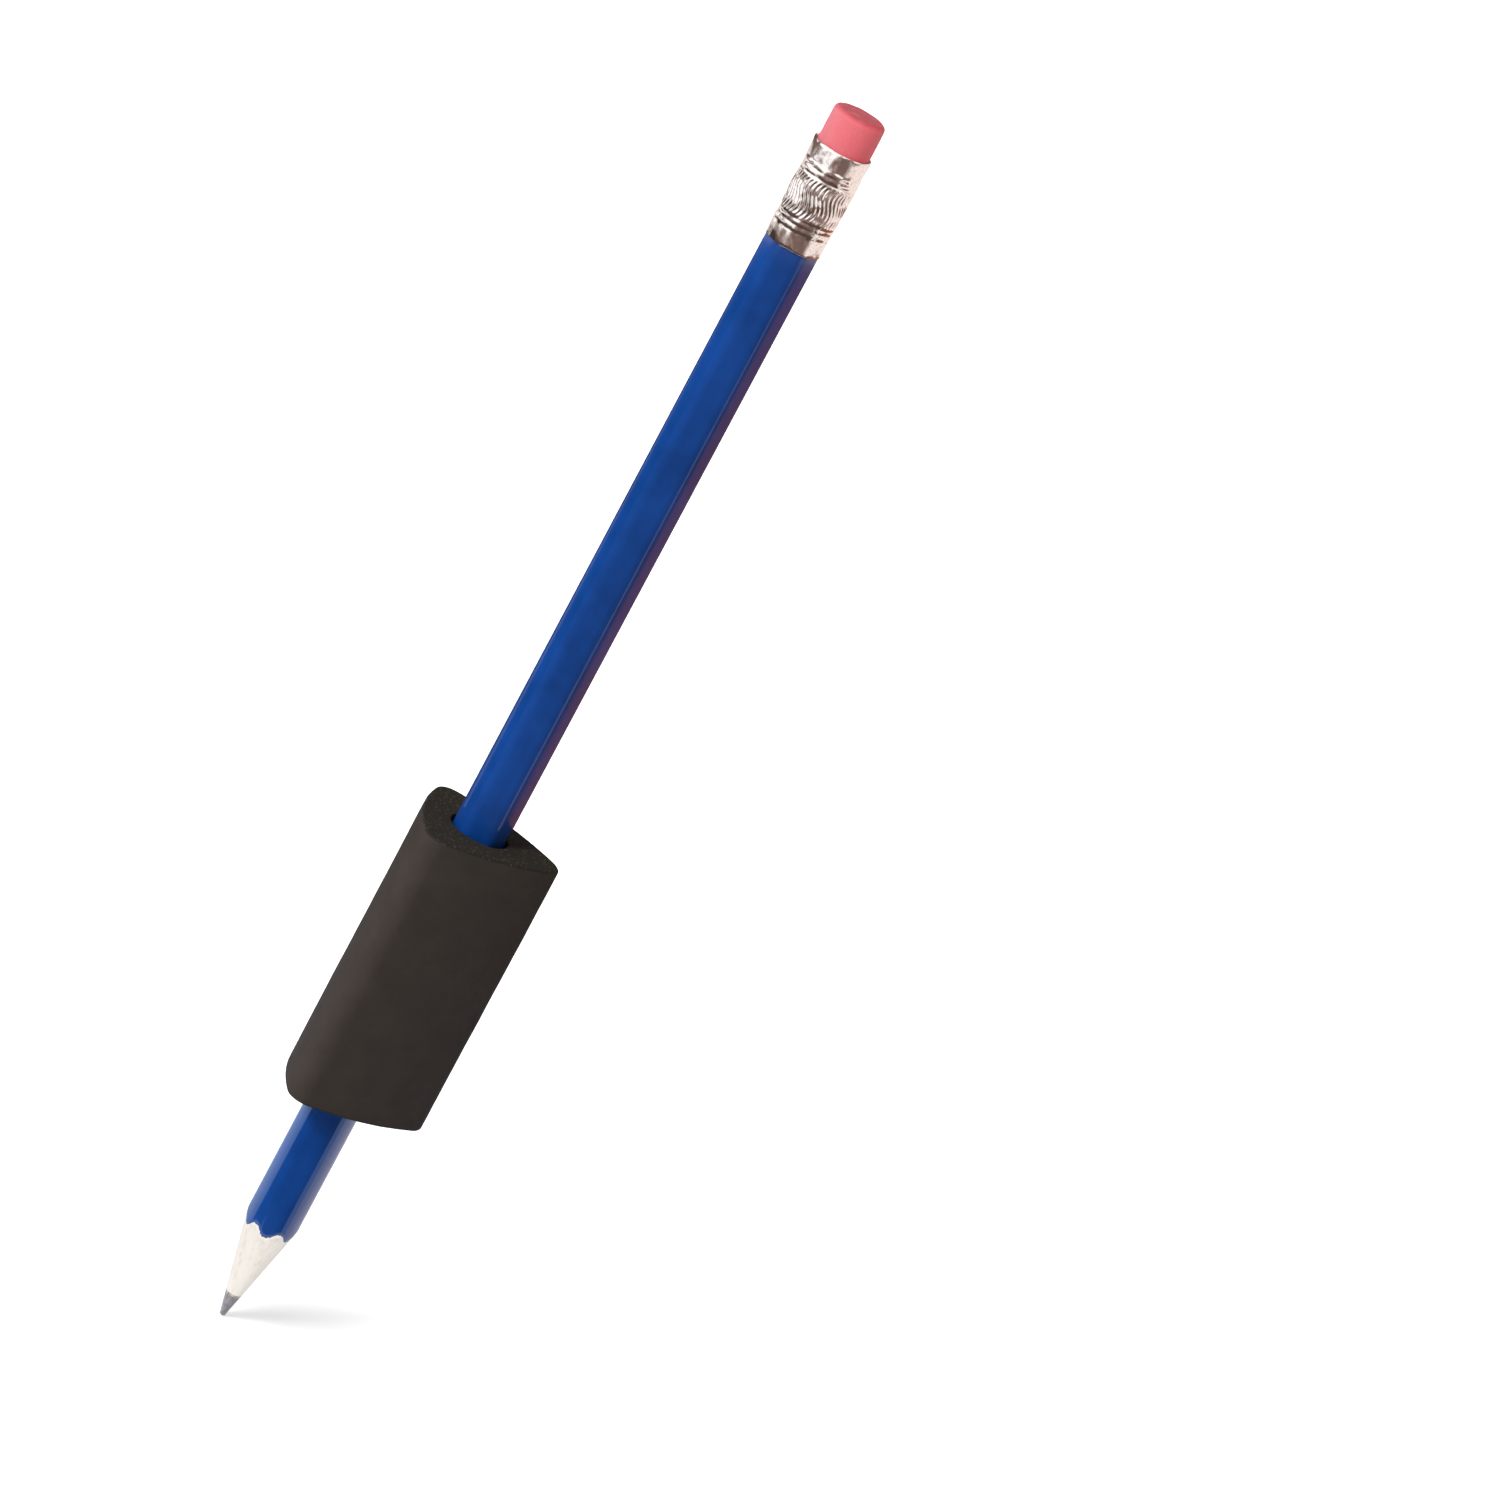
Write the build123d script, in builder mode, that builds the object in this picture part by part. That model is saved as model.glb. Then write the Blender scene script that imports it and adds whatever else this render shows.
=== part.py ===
from build123d import *

import os
from math import cos, degrees, pi, radians, sin, sqrt, tan

# A hexagonal wood-cased pencil that carries a soft three-sided grip sleeve.
# All sizes are millimetres. +Z runs from the writing point to the eraser,
# the origin is the middle of the sleeve's bore, and +X points at a corner of the sleeve.

# Places along the pencil, measured from the writing point
pencil_length = 189.0
point_to_grip = 37.1

# Grip sleeve: a rounded triangle with crowned sides and a round bore
grip_length = 42.0
grip_face_distance = 8.3
grip_side_radius = 34.0
grip_corner_radius = 2.6
grip_end_rounding = 0.45
grip_clearance = 0.4
bore_mouth_bevel = 0.2

# Barrel: two glued slats round a lead, under a coat of lacquer
across_flats = 7.05
barrel_edge_radius = 1.7
barrel_turn = -3.0
lacquer_thickness = 0.12
lacquer_bond = 0.03
glue_line = 0.04
lead_diameter = 2.3
lead_fit = 0.04

# Sharpened end
cone_half_angle = 12.2
worn_point_radius = 0.36
worn_point_bevel = 0.12

# Eraser and the turned end of the casing, both held in the ferrule
eraser_diameter = 7.28
eraser_proud = 5.1
eraser_top_rounding = 0.95
eraser_squeeze = 0.05
eraser_swell_height = 0.7
eraser_fit = 0.04
tenon_diameter = 7.2
tenon_length = 7.0
tenon_fit = 0.05
seat_gap = 0.05

# Ferrule: a rolled sheet tube, from its skirt on the barrel up to its rim
ferrule_wall = 0.27
skirt_height = 2.4
bead_pitch = 0.95
bead_height = 0.1
bead_crest_width = 0.3
beads_per_group = 2
flute_band_height = 5.7
flute_count = 42
flute_depth = 0.17
flute_proud = 0.08
flute_sway = 0.45
flute_sections = 5
collar_height = 2.4
rim_flare = 0.1
rim_bevel = 0.08

# Heights that follow from those sizes
point_z = -(point_to_grip + grip_length / 2)
eraser_top_z = point_z + pencil_length
rim_z = eraser_top_z - eraser_proud
bead_group_height = bead_pitch * beads_per_group
flute_top_z = rim_z - collar_height - bead_group_height
flute_bottom_z = flute_top_z - flute_band_height
skirt_top_z = flute_bottom_z - bead_group_height
skirt_z = skirt_top_z - skirt_height
tenon_top_z = skirt_z + tenon_length

# Radii that follow from those sizes
barrel_corner_radius = (across_flats / 2 - barrel_edge_radius) / cos(radians(30)) + barrel_edge_radius
bore_radius = barrel_corner_radius + grip_clearance
lacquer_build = lacquer_thickness + lacquer_bond
lead_radius = lead_diameter / 2
tenon_radius = tenon_diameter / 2
tenon_bore_radius = tenon_radius + tenon_fit
skirt_radius = tenon_bore_radius + ferrule_wall
eraser_radius = eraser_diameter / 2
plug_radius = eraser_radius - eraser_squeeze
eraser_bore_radius = eraser_radius + eraser_fit
collar_radius = eraser_bore_radius + ferrule_wall
flute_crest_radius = collar_radius + flute_proud
rim_radius = collar_radius + rim_flare

# The sharpened cone runs on past the barrel's corners, so that it clears them
cone_clear_radius = 2 * barrel_corner_radius
cone_clear_z = point_z + (cone_clear_radius - worn_point_radius) / tan(radians(cone_half_angle))


def barrel_plane(height):
    """Return the level plane at a height, turned so that a barrel corner lies on its X axis."""
    turn = radians(barrel_turn)
    return Plane(origin=(0, 0, height), x_dir=(cos(turn), sin(turn), 0), z_dir=(0, 0, 1))


def on_circle(radius, angle):
    """Return the flat point at a radius and an angle in degrees."""
    return Vector(radius * cos(radians(angle)), radius * sin(radians(angle)))


def bead_outline(radius, foot):
    """Return the outline of the beads of one group, rolled out from a radius, upwards from the foot of the group."""
    outline = [(radius, foot)]
    for bead in range(beads_per_group):
        middle = foot + (bead + 0.5) * bead_pitch
        outline.append((radius + bead_height, middle - bead_crest_width / 2))
        outline.append((radius + bead_height, middle + bead_crest_width / 2))
        outline.append((radius, middle + bead_pitch / 2))
    return outline


def hexagon(inset):
    """Sketch the barrel's rounded hexagon, drawn in by an inset."""
    RegularPolygon(across_flats / 2 - inset, 6, major_radius=False)
    fillet(vertices(), barrel_edge_radius - inset)


# What a sharpener leaves of a blank: the cone, and all that stands above it
with BuildPart() as sharpened_form:
    with BuildSketch(Plane.XZ):
        with BuildLine():
            Polyline(
                (0, point_z),
                (worn_point_radius, point_z),
                (cone_clear_radius, cone_clear_z),
                (cone_clear_radius, eraser_top_z),
                (0, eraser_top_z),
                close=True,
            )
        make_face()
    revolve(axis=Axis.Z)

# Soft sleeve that the fingers hold: three crowned sides joined by tangent corner arcs
side_centre = grip_side_radius - grip_face_distance
corner_reach = grip_side_radius - grip_corner_radius
corner_centre = (sqrt(4 * corner_reach**2 - 3 * side_centre**2) - side_centre) / 2
with BuildPart() as grip_sleeve:
    with BuildSketch(Plane.XY.offset(-grip_length / 2)):
        with BuildLine():
            for corner in range(3):
                angle = corner * 120
                middle = on_circle(corner_centre, angle)
                joins = []
                for side in (-60, 60):
                    pivot = on_circle(-side_centre, angle + side)
                    joins.append(pivot + (middle - pivot).normalized() * grip_side_radius)
                ThreePointArc(joins[0], on_circle(corner_centre + grip_corner_radius, angle), joins[1])
                next_join = joins[0].rotate(Axis.Z, 120)
                ThreePointArc(joins[1], on_circle(grip_face_distance, angle + 60), next_join)
        make_face()
        Circle(bore_radius, mode=Mode.SUBTRACT)
    extrude(amount=grip_length)
    bore_rims = grip_sleeve.edges().filter_by(GeomType.CIRCLE).filter_by(
        lambda edge: abs(edge.radius - bore_radius) < grip_clearance / 2
    )
    ends = grip_sleeve.faces().filter_by(Axis.Z)
    outer_rims = [edge for end in ends for edge in end.outer_wire().edges()]
    fillet(outer_rims, grip_end_rounding)
    chamfer(bore_rims, bore_mouth_bevel)
grip_sleeve.part.label = "grip_sleeve"


def casing_slat(facing):
    """Build one slat of the casing: half the barrel, grooved for the lead, turned down at its top.

    The glued joint runs through two opposite corners, and facing is -1 for the front slat and 1 for the back.
    """
    with BuildPart() as slat:
        with BuildSketch(barrel_plane(point_z)):
            hexagon(lacquer_build)
            Circle(lead_radius + lead_fit, mode=Mode.SUBTRACT)
        extrude(amount=tenon_top_z - point_z)
        add(sharpened_form.part, mode=Mode.INTERSECT)
        with BuildSketch(Plane.XY.offset(skirt_z)):
            Circle(cone_clear_radius)
            Circle(tenon_radius, mode=Mode.SUBTRACT)
        extrude(amount=tenon_length, mode=Mode.SUBTRACT)
        level = barrel_plane(0)
        away = level.y_dir * facing
        split(bisect_by=Plane(origin=away * (glue_line / 2), z_dir=away), keep=Keep.TOP)
    return slat.part


front_slat = casing_slat(-1)
front_slat.label = "front_slat"
back_slat = casing_slat(1)
back_slat.label = "back_slat"

# Graphite lead, worn to a small flat at the point
with BuildPart() as lead_core:
    with BuildSketch(Plane.XY.offset(point_z)):
        Circle(lead_radius)
    extrude(amount=tenon_top_z - point_z)
    add(sharpened_form.part, mode=Mode.INTERSECT)
    chamfer(lead_core.edges().group_by(Axis.Z)[0], worn_point_bevel)
lead_core.part.label = "lead_core"

# Coat of lacquer over the casing, cut to scallops where the cone meets the flats
with BuildPart() as lacquer_coat:
    with BuildSketch(barrel_plane(point_z)):
        hexagon(0)
    extrude(amount=skirt_z - seat_gap - point_z)
    with BuildSketch(barrel_plane(point_z)):
        hexagon(lacquer_thickness)
    extrude(amount=skirt_z - seat_gap - point_z, mode=Mode.SUBTRACT)
    add(sharpened_form.part, mode=Mode.INTERSECT)
lacquer_coat.part.label = "lacquer_coat"

# Ferrule: plain skirt, beads, a band of swaying flutes, beads, a collar that flares to its rim
with BuildPart() as ferrule:
    with BuildSketch(Plane.XZ):
        with BuildLine():
            Polyline(
                (0, skirt_z),
                (skirt_radius, skirt_z),
                *bead_outline(skirt_radius, skirt_top_z),
                (0, flute_bottom_z),
                close=True,
            )
        make_face()
        with BuildLine():
            Polyline(
                (0, flute_top_z),
                *bead_outline(collar_radius, flute_top_z),
                (rim_radius, rim_z),
                (0, rim_z),
                close=True,
            )
        make_face()
    revolve(axis=Axis.Z)
    sway_angle = degrees(flute_sway / flute_crest_radius)
    for section in range(flute_sections):
        share = section / (flute_sections - 1)
        turn = sway_angle * sin(2 * pi * share)
        with BuildSketch(Plane.XY.offset(flute_bottom_z + share * flute_band_height)):
            with BuildLine():
                ridge_points = []
                for step in range(2 * flute_count):
                    radius = flute_crest_radius - flute_depth * (step % 2)
                    ridge_points.append(on_circle(radius, turn + step * 180 / flute_count))
                Polyline(*ridge_points, close=True)
            make_face()
    loft(ruled=True)
    with BuildSketch(Plane.XY.offset(skirt_z)):
        Circle(tenon_bore_radius)
    extrude(amount=rim_z - skirt_z, mode=Mode.SUBTRACT)
    with BuildSketch(Plane.XY.offset(tenon_top_z)):
        Circle(eraser_bore_radius)
    extrude(amount=rim_z - tenon_top_z, mode=Mode.SUBTRACT)
    chamfer(ferrule.edges().group_by(Axis.Z)[-1], rim_bevel)
ferrule.part.label = "ferrule"

# Eraser: a plug squeezed into the ferrule, seated on the end of the casing, that swells to a free stub above the rim
with BuildPart() as eraser:
    with BuildSketch(Plane.XZ):
        with BuildLine():
            Polyline(
                (0, tenon_top_z + seat_gap),
                (plug_radius, tenon_top_z + seat_gap),
                (plug_radius, rim_z - eraser_swell_height),
                (eraser_radius, rim_z),
                (eraser_radius, eraser_top_z),
                (0, eraser_top_z),
                close=True,
            )
        make_face()
    revolve(axis=Axis.Z)
    fillet(eraser.edges().group_by(Axis.Z)[-1], eraser_top_rounding)
eraser.part.label = "eraser"

os.makedirs("parts", exist_ok=True)
export_step(grip_sleeve.part, "parts/grip_sleeve.step")
export_step(front_slat, "parts/front_slat.step")
export_step(back_slat, "parts/back_slat.step")
export_step(lead_core.part, "parts/lead_core.step")
export_step(lacquer_coat.part, "parts/lacquer_coat.step")
export_step(ferrule.part, "parts/ferrule.step")
export_step(eraser.part, "parts/eraser.step")
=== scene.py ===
import logging
from contextlib import contextmanager
from dataclasses import dataclass
from enum import Enum
from math import atan2, cos, pi, radians, sin, sqrt, tan
from typing import Any, Callable, ClassVar, Iterator

import bmesh
import bpy
from bpy.types import Material, NodeSocket, NodeTree, Object
from mathutils import Matrix, Vector


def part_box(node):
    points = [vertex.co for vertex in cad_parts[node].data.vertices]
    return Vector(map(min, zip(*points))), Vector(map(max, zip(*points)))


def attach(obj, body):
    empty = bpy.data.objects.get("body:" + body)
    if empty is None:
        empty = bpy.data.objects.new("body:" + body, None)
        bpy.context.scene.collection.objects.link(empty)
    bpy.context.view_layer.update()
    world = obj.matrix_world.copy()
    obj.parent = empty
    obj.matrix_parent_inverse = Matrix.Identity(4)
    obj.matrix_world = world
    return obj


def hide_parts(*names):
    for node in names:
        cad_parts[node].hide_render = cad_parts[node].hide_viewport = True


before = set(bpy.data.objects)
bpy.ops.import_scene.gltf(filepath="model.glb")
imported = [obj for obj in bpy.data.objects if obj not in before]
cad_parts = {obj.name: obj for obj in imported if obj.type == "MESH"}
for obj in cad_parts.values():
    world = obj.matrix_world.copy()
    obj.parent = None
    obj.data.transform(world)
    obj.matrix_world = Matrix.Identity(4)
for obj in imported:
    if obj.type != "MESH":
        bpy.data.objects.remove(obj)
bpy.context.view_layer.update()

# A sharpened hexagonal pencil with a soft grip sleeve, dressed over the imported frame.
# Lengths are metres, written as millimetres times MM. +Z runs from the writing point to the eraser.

LOG = logging.getLogger("pencil")
MM = 0.001
UP = Vector((0, 0, 1))

# Points within NEAR of a plane or a circle lie on it, and points within DOUBLED of each other are one point
NEAR = 0.01 * MM
DOUBLED = 0.001 * MM

# An edge is upright where at least this share of its direction runs along the pencil
UPRIGHT = 0.9

# Places of a colour mix node's sockets, whose names repeat for each kind of data
MIX_FACTOR, MIX_A, MIX_B, MIX_RESULT = 0, 6, 7, 2


class Element(Enum):
    """Kinds of mesh elements that a selection is made of."""

    VERT = "VERT"
    EDGE = "EDGE"
    FACE = "FACE"


class Ray(Enum):
    """Kinds of rays that show the white surround instead of the studio's plain light."""

    CAMERA = "Is Camera Ray"
    GLOSSY = "Is Glossy Ray"
    TRANSMISSION = "Is Transmission Ray"


def linear(colour: str) -> tuple[float, float, float, float]:
    """Turn an sRGB colour to linear light.

    Args:
        colour: A hash sign and six hex digits.

    Returns:
        Linear red, green and blue, and full alpha.
    """
    shares = [int(colour[place:place + 2], 16) / 255 for place in (1, 3, 5)]
    red, green, blue = (s / 12.92 if s <= 0.04045 else ((s + 0.055) / 1.055) ** 2.4 for s in shares)
    return red, green, blue, 1.0


def add_node(
    tree: NodeTree, kind: str, inputs: dict[Any, Any], output: str | int = 0, **settings: Any
) -> NodeSocket | None:
    """Add a node with its settings, values and links.

    Args:
        tree: The node tree that gets the node.
        kind: The node's type name.
        inputs: A value or a linked socket for each input, by name or number.
        output: The output to give back, by name or number.
        settings: The node's own properties.

    Returns:
        The output, or None for a node without one.
    """
    node = tree.nodes.new(kind)
    for name, value in settings.items():
        setattr(node, name, value)
    for key, value in inputs.items():
        if isinstance(value, NodeSocket):
            tree.links.new(value, node.inputs[key])
        else:
            node.inputs[key].default_value = value
    return node.outputs[output] if node.outputs else None


def empty_material(name: str) -> Material:
    """Add a material without any nodes.

    Args:
        name: The material's name.

    Returns:
        The material.
    """
    material = bpy.data.materials.new(name)
    material.use_nodes = True
    material.node_tree.nodes.clear()
    return material


def start(name: str, add: Callable[..., Any], **place: Any) -> Object:
    """Add a primitive at its size and place, with the place put into its mesh.

    Args:
        name: The piece's name.
        add: The operator that adds the primitive.
        place: The operator's sizes and place.

    Returns:
        The new piece, at the origin.
    """
    bpy.ops.object.select_all(action="DESELECT")
    add(**place)
    piece = bpy.context.active_object
    piece.name = piece.data.name = name
    bpy.ops.object.transform_apply(location=True, rotation=True, scale=True)
    return piece


def take(piece: Object) -> None:
    """Make a piece the only selected one, and the active one.

    Args:
        piece: The piece to take up.
    """
    bpy.ops.object.select_all(action="DESELECT")
    piece.select_set(True)
    bpy.context.view_layer.objects.active = piece


@contextmanager
def editing(piece: Object) -> Iterator[None]:
    """Open a piece in edit mode with all of its points selected, and leave it in object mode.

    Args:
        piece: The piece to edit.

    Yields:
        Nothing, while the piece is open.
    """
    take(piece)
    bpy.ops.object.mode_set(mode="EDIT")
    bpy.ops.mesh.select_mode(type="VERT")
    bpy.ops.mesh.select_all(action="SELECT")
    yield
    bpy.ops.object.mode_set(mode="OBJECT")


def pick(piece: Object, element: Element, test: Callable[[Vector], bool], upright: bool = False) -> None:
    """Select the elements of a piece in edit mode whose corners all pass a test.

    Args:
        piece: The piece in edit mode.
        element: The kind of elements to select.
        test: Tells of a corner's place whether it counts.
        upright: Whether only edges that run along the pencil count.
    """
    bpy.ops.mesh.select_mode(type=element.value)
    bpy.ops.mesh.select_all(action="DESELECT")
    mesh = bmesh.from_edit_mesh(piece.data)
    found = {Element.VERT: mesh.verts, Element.EDGE: mesh.edges, Element.FACE: mesh.faces}[element]
    for item in found:
        corners = [item.co] if element is Element.VERT else [corner.co for corner in item.verts]
        if upright and abs((corners[1] - corners[0]).normalized().dot(UP)) < UPRIGHT:
            continue
        if all(test(corner) for corner in corners):
            item.select_set(True)
    mesh.select_flush_mode()
    bmesh.update_edit_mesh(piece.data)


def modify(piece: Object, kind: str, **settings: Any) -> None:
    """Finish a piece with a modifier, and apply it.

    Args:
        piece: The piece to change.
        kind: The modifier's type name.
        settings: The modifier's properties.
    """
    take(piece)
    modifier = piece.modifiers.new(kind.title(), kind)
    for name, value in settings.items():
        setattr(modifier, name, value)
    bpy.ops.object.modifier_apply(modifier=modifier.name)


def roughen(piece: Object, grain: float, depth: float, middle: float = 0.5) -> None:
    """Push a piece's skin out and in by cloudy noise.

    Args:
        piece: The piece to roughen.
        grain: The size of the noise's lumps.
        depth: The way from the lowest to the highest skin.
        middle: The share of the depth that lies inside the old skin.
    """
    noise = bpy.data.textures.new(f"{piece.name}_noise", "CLOUDS")
    noise.noise_scale = grain
    modify(piece, "DISPLACE", texture=noise, texture_coords="LOCAL", strength=depth, mid_level=middle)


def close_up(piece: Object) -> None:
    """Merge a piece's doubled points and turn its faces outwards.

    Args:
        piece: The piece to close up.
    """
    with editing(piece):
        bpy.ops.mesh.remove_doubles(threshold=DOUBLED)
        bpy.ops.mesh.normals_make_consistent(inside=False)


def draw(name: str, outline: list[Vector]) -> Object:
    """Draw an open outline as a chain of extruded points.

    Args:
        name: The piece's name.
        outline: The outline's points in order.

    Returns:
        The piece, which has edges only.
    """
    piece = start(name, bpy.ops.mesh.primitive_plane_add, size=MM, location=outline[0])
    with editing(piece):
        bpy.ops.mesh.merge(type="CENTER")
        for here, there in zip(outline, outline[1:]):
            bpy.ops.mesh.extrude_region_move(TRANSFORM_OT_translate={"value": there - here})
    return piece


def shade(piece: Object, material: Material, crease: float = 35.0) -> None:
    """Give a piece its material and shade it smooth.

    Args:
        piece: The piece to shade.
        material: Its only material.
        crease: The angle in degrees past which an edge stays sharp.
    """
    piece.data.materials.clear()
    piece.data.materials.append(material)
    take(piece)
    bpy.ops.object.shade_smooth_by_angle(angle=radians(crease))


def on_circle(radius: float, angle: float, height: float = 0.0) -> Vector:
    """Return the point at a radius, an angle in degrees and a height."""
    return Vector((radius * cos(radians(angle)), radius * sin(radians(angle)), height))


@dataclass(frozen=True)
class Finish:
    """What all finishes share: a name, and a tree of nodes that ends in one surface shader."""

    name: ClassVar[str]

    def surface(self, tree: NodeTree) -> dict[str, Any]:
        """Return what the surface shader's sockets get."""
        raise NotImplementedError

    @staticmethod
    def streaks(
        tree: NodeTree, place: NodeSocket, width: float, length: float, detail: float = 2.0
    ) -> NodeSocket:
        """Draw cloudy noise out along the pencil.

        Args:
            tree: The material's nodes.
            place: The place on the piece.
            width: A streak's width.
            length: A streak's length.
            detail: How many finer layers the noise has.

        Returns:
            The noise.
        """
        drawn = {"Vector": place, "Scale": (1 / width, 1 / width, 1 / length)}
        drawn = add_node(tree, "ShaderNodeMapping", drawn)
        return add_node(tree, "ShaderNodeTexNoise", {"Vector": drawn, "Scale": 1.0, "Detail": detail}, "Fac")

    @staticmethod
    def toned(
        tree: NodeTree, value: NodeSocket, span: tuple[float, float], low: str | NodeSocket,
        high: str | NodeSocket,
    ) -> NodeSocket:
        """Blend one colour into another where a value crosses a span.

        Args:
            tree: The material's nodes.
            value: The value that decides.
            span: Where the blend starts, and where it ends.
            low: The colour below the span, as a hash sign and hex digits or as a socket.
            high: The colour above it, in the same way.

        Returns:
            The blended colour.
        """
        limits = {"From Min": span[0], "From Max": span[1]}
        share = add_node(tree, "ShaderNodeMapRange", {"Value": value, **limits})
        below, above = (linear(tone) if isinstance(tone, str) else tone for tone in (low, high))
        tones = {MIX_FACTOR: share, MIX_A: below, MIX_B: above}
        return add_node(tree, "ShaderNodeMix", tones, MIX_RESULT, data_type="RGBA")

    def make(self) -> Material:
        """Make the finish's nodes.

        Returns:
            The finish as a material.
        """
        material = empty_material(self.name)
        tree = material.node_tree
        shader = add_node(tree, "ShaderNodeBsdfPrincipled", self.surface(tree), "BSDF")
        add_node(tree, "ShaderNodeOutputMaterial", {"Surface": shader})
        return material


@dataclass(frozen=True)
class FoamRubber(Finish):
    """Closed-cell foam rubber, moulded with a skin and cut at its ends: dull, warm black, faintly mottled."""

    name: ClassVar[str] = "closed_cell_foam_rubber"
    half_length: float
    dark: str = "#433b37"
    pale: str = "#473f3a"
    cut: str = "#312d27"
    cut_cell: str = "#5c554b"
    mottle: float = 4.0 * MM
    # Real cells are about 0.2 mm wide: they are drawn coarser, so that they show
    cell: float = 0.36 * MM
    cut_band: float = 0.2 * MM
    relief: float = 0.05 * MM

    def surface(self, tree: NodeTree) -> dict[str, Any]:
        """Mottle the skin softly, and speck the flat ends with paler cut cells.

        Args:
            tree: The material's nodes.

        Returns:
            What the surface shader's sockets get.
        """
        place = add_node(tree, "ShaderNodeTexCoord", {}, "Object")
        cloud = {"Vector": place, "Scale": 1 / self.mottle, "Detail": 3.0}
        mottle = add_node(tree, "ShaderNodeTexNoise", cloud, "Fac")
        skin = self.toned(tree, mottle, (0.35, 0.65), self.dark, self.pale)
        cells = add_node(tree, "ShaderNodeTexNoise", {"Vector": place, "Scale": 1 / self.cell}, "Fac")
        height = add_node(tree, "ShaderNodeSeparateXYZ", {"Vector": place}, "Z")
        reach = add_node(tree, "ShaderNodeMath", {0: height}, operation="ABSOLUTE")
        band_high = self.half_length - self.cut_band
        inside = self.toned(tree, cells, (0.58, 0.72), self.cut, self.cut_cell)
        relief = {"Height": cells, "Distance": self.relief, "Strength": 0.3}
        return {
            "Base Color": self.toned(tree, reach, (band_high - self.cut_band, band_high), skin, inside),
            "Roughness": 0.88,
            "Specular IOR Level": 0.2,
            "Normal": add_node(tree, "ShaderNodeBump", relief),
        }


@dataclass(frozen=True)
class Lacquer(Finish):
    """Blue nitro lacquer, dipped in several coats: deep, glossy, a little wavy, finely rubbed along it."""

    name: ClassVar[str] = "blue_nitro_lacquer"
    deep: str = "#0b4390"
    light: str = "#114ca1"
    rubbed: str = "#2d5fae"
    roughness: float = 0.15
    cloud: float = 6.0 * MM
    wave: float = 1.4 * MM
    # Real rubbed lines are under 0.1 mm wide: they are drawn coarser, so that they show
    line: float = 0.25 * MM
    line_length: float = 10.0 * MM
    relief: float = 0.03 * MM

    def surface(self, tree: NodeTree) -> dict[str, Any]:
        """Cloud two close blues, rub fine lines along them, and wave the skin under the gloss.

        Args:
            tree: The material's nodes.

        Returns:
            What the surface shader's sockets get.
        """
        place = add_node(tree, "ShaderNodeTexCoord", {}, "Object")
        cloud = add_node(tree, "ShaderNodeTexNoise", {"Vector": place, "Scale": 1 / self.cloud}, "Fac")
        coat = self.toned(tree, cloud, (0.35, 0.65), self.deep, self.light)
        lines = self.streaks(tree, place, self.line, self.line_length, detail=1.0)
        worn = {"Value": lines, "From Min": 0.64, "From Max": 0.8, "To Max": 0.12}
        worn = add_node(tree, "ShaderNodeMapRange", worn)
        tones = {MIX_FACTOR: worn, MIX_A: coat, MIX_B: linear(self.rubbed)}
        wave = {"Vector": place, "Scale": 1 / self.wave, "Detail": 0.0}
        wave = add_node(tree, "ShaderNodeTexNoise", wave, "Fac")
        relief = {"Height": wave, "Distance": self.relief, "Strength": 0.25}
        return {
            "Base Color": add_node(tree, "ShaderNodeMix", tones, MIX_RESULT, data_type="RGBA"),
            "Roughness": add_node(tree, "ShaderNodeMath", {0: worn, 1: self.roughness}, operation="ADD"),
            "IOR": 1.5,
            "Coat Weight": 0.4,
            "Coat Roughness": 0.06,
            "Normal": add_node(tree, "ShaderNodeBump", relief),
        }


@dataclass(frozen=True)
class CasingWood(Finish):
    """Pale basswood, shaved by a sharpener: dull, close grain along it, smudged where it meets the lead."""

    name: ClassVar[str] = "shaved_basswood"
    lead_edge: float
    pale: str = "#f8f2ea"
    streak: str = "#e2d6c8"
    smudge: str = "#8c868a"
    # Real fibres are under 0.1 mm wide: they are drawn coarser, so that they show
    fibre: float = 0.28 * MM
    fibre_length: float = 7.0 * MM
    band: float = 0.9 * MM
    band_length: float = 21.0 * MM
    tooth: float = 0.18 * MM
    smudge_height: float = 0.9 * MM
    relief: float = 0.04 * MM

    def surface(self, tree: NodeTree) -> dict[str, Any]:
        """Streak the wood along its grain, and smudge it raggedly above the lead.

        Args:
            tree: The material's nodes.

        Returns:
            What the surface shader's sockets get.
        """
        place = add_node(tree, "ShaderNodeTexCoord", {}, "Object")
        fibres = self.streaks(tree, place, self.fibre, self.fibre_length, detail=3.0)
        bands = self.streaks(tree, place, self.band, self.band_length)
        streak = add_node(tree, "ShaderNodeMapRange", {"Value": fibres, "From Min": 0.45, "From Max": 0.75})
        broad = add_node(tree, "ShaderNodeMapRange", {"Value": bands, "From Min": 0.3, "From Max": 0.7})
        streak = add_node(tree, "ShaderNodeMath", {0: streak, 1: broad}, operation="MULTIPLY")
        tones = {MIX_FACTOR: streak, MIX_A: linear(self.pale), MIX_B: linear(self.streak)}
        wood = add_node(tree, "ShaderNodeMix", tones, MIX_RESULT, data_type="RGBA")
        teeth = self.streaks(tree, place, self.tooth, self.smudge_height)
        height = add_node(tree, "ShaderNodeSeparateXYZ", {"Vector": place}, "Z")
        limits = {"From Min": self.lead_edge, "From Max": self.lead_edge + self.smudge_height}
        above = add_node(tree, "ShaderNodeMapRange", {"Value": height, **limits})
        ragged = add_node(tree, "ShaderNodeMath", {0: teeth, 1: above}, operation="SUBTRACT")
        relief = {"Height": fibres, "Distance": self.relief, "Strength": 0.4}
        return {
            "Base Color": self.toned(tree, ragged, (0.3, 0.42), wood, self.smudge),
            "Roughness": 0.72,
            "Specular IOR Level": 0.3,
            "Normal": add_node(tree, "ShaderNodeBump", relief),
        }


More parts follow.
